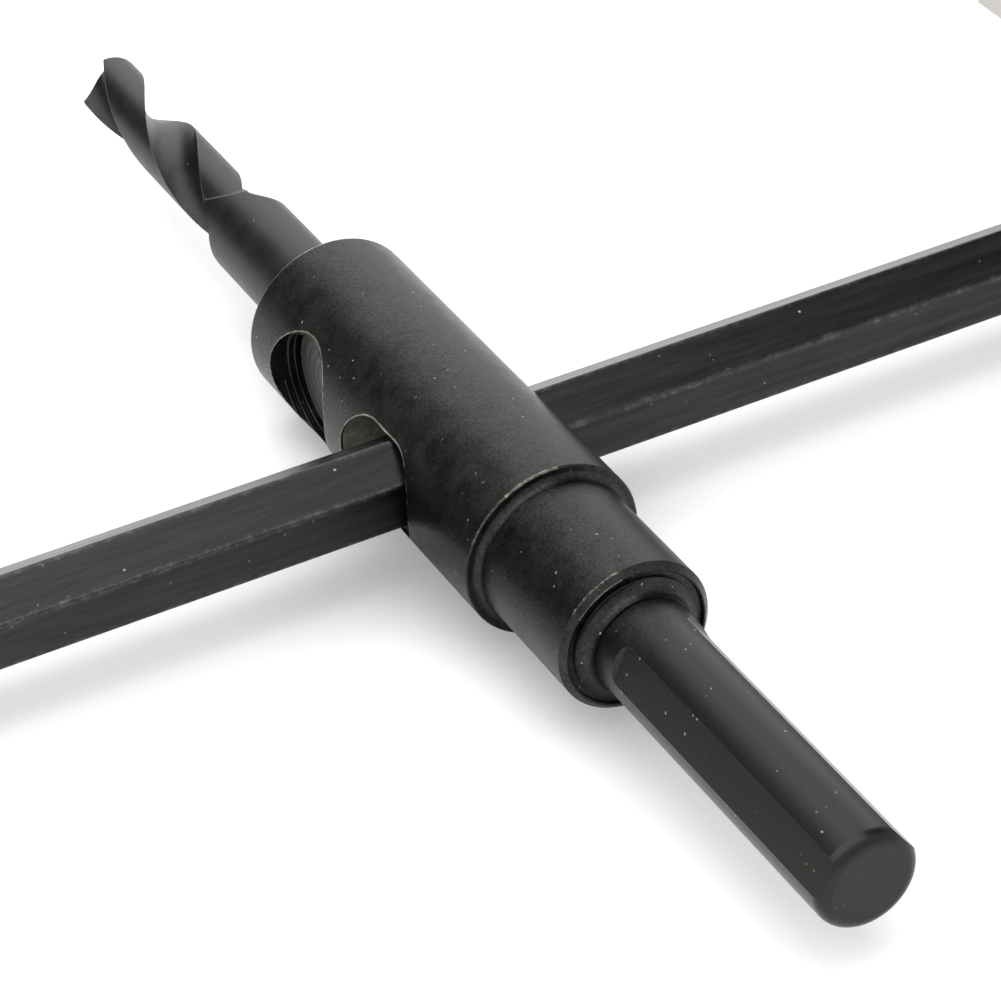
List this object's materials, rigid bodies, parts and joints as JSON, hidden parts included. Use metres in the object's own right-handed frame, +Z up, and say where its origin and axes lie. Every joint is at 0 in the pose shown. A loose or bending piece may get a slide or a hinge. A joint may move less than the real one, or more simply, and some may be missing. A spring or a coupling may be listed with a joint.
{
  "type": "adjustable circle cutter",
  "caption": "Adjustable circle cutter: turned arbor with flatted shank and pilot drill, a hexagonal cross bar, and a sliding holder with a carbide-tipped cutter near each bar end.",
  "frame": {"origin": "on the surface the tool lies on, midway along the arbor and midway along the bar", "axes": "+X along the hexagonal bar, +Y along the arbor towards the point of the pilot drill, +Z up off the surface it lies on"},
  "size_m": [0.26, 0.1762, 0.022],
  "materials": {
    "blackened_steel": "satin",
    "drill_steel": "satin",
    "screw_steel": "satin",
    "cutter_steel": "satin",
    "carbide": "satin"
  },
  "bodies": {
    "arbor": {"arbor_body": "blackened_steel", "thrust_plug": "blackened_steel"},
    "hex_bar": {"hex_bar": "blackened_steel"},
    "pilot_drill": {"pilot_drill": "drill_steel"},
    "bar_clamp_screw": {"bar_clamp_screw": "screw_steel"},
    "drill_clamp_screw": {"drill_clamp_screw": "screw_steel"},
    "left_holder": {"left_holder": "blackened_steel"},
    "left_holder_screw": {"left_holder_screw": "screw_steel"},
    "left_cutter": {"left_cutter": "cutter_steel", "left_carbide_tip": "carbide"},
    "left_rear_cutter_screw": {"left_rear_cutter_screw": "screw_steel"},
    "left_front_cutter_screw": {"left_front_cutter_screw": "screw_steel"},
    "right_holder": {"right_holder": "blackened_steel"},
    "right_holder_screw": {"right_holder_screw": "screw_steel"},
    "right_cutter": {"right_cutter": "cutter_steel", "right_carbide_tip": "carbide"},
    "right_rear_cutter_screw": {"right_rear_cutter_screw": "screw_steel"},
    "right_front_cutter_screw": {"right_front_cutter_screw": "screw_steel"}
  },
  "joints": [
    {"name": "bar_slide", "type": "slide", "parent": "arbor", "child": "hex_bar", "axis": [1, 0, 0], "range_m": [-0.008, 0.008]},
    {"name": "drill_slide", "type": "slide", "parent": "arbor", "child": "pilot_drill", "axis": [0, 1, 0], "range_m": [0, 0.005]},
    {"name": "bar_clamp_screw_travel", "type": "slide", "parent": "arbor", "child": "bar_clamp_screw", "axis": [0, 1, 0], "range_m": [0, 0.0012]},
    {"name": "drill_clamp_screw_travel", "type": "slide", "parent": "arbor", "child": "drill_clamp_screw", "axis": [1, 0, 0], "range_m": [0, 0.0025]},
    {"name": "left_holder_slide", "type": "slide", "parent": "hex_bar", "child": "left_holder", "axis": [1, 0, 0], "range_m": [-0.008, 0.078]},
    {"name": "left_cutter_slide", "type": "slide", "parent": "left_holder", "child": "left_cutter", "axis": [0, 1, 0], "range_m": [0, 0.005]},
    {"name": "left_holder_screw_travel", "type": "slide", "parent": "left_holder", "child": "left_holder_screw", "axis": [0, -1, 0], "range_m": [0, 0.003]},
    {"name": "left_rear_cutter_screw_travel", "type": "slide", "parent": "left_holder", "child": "left_rear_cutter_screw", "axis": [-1, 0, 0], "range_m": [0, 0.002]},
    {"name": "left_front_cutter_screw_travel", "type": "slide", "parent": "left_holder", "child": "left_front_cutter_screw", "axis": [-1, 0, 0], "range_m": [0, 0.002]},
    {"name": "right_holder_slide", "type": "slide", "parent": "hex_bar", "child": "right_holder", "axis": [-1, 0, 0], "range_m": [-0.008, 0.078]},
    {"name": "right_cutter_slide", "type": "slide", "parent": "right_holder", "child": "right_cutter", "axis": [0, 1, 0], "range_m": [0, 0.005]},
    {"name": "right_holder_screw_travel", "type": "slide", "parent": "right_holder", "child": "right_holder_screw", "axis": [0, -1, 0], "range_m": [0, 0.003]},
    {"name": "right_rear_cutter_screw_travel", "type": "slide", "parent": "right_holder", "child": "right_rear_cutter_screw", "axis": [1, 0, 0], "range_m": [0, 0.002]},
    {"name": "right_front_cutter_screw_travel", "type": "slide", "parent": "right_holder", "child": "right_front_cutter_screw", "axis": [1, 0, 0], "range_m": [0, 0.002]}
  ]
}
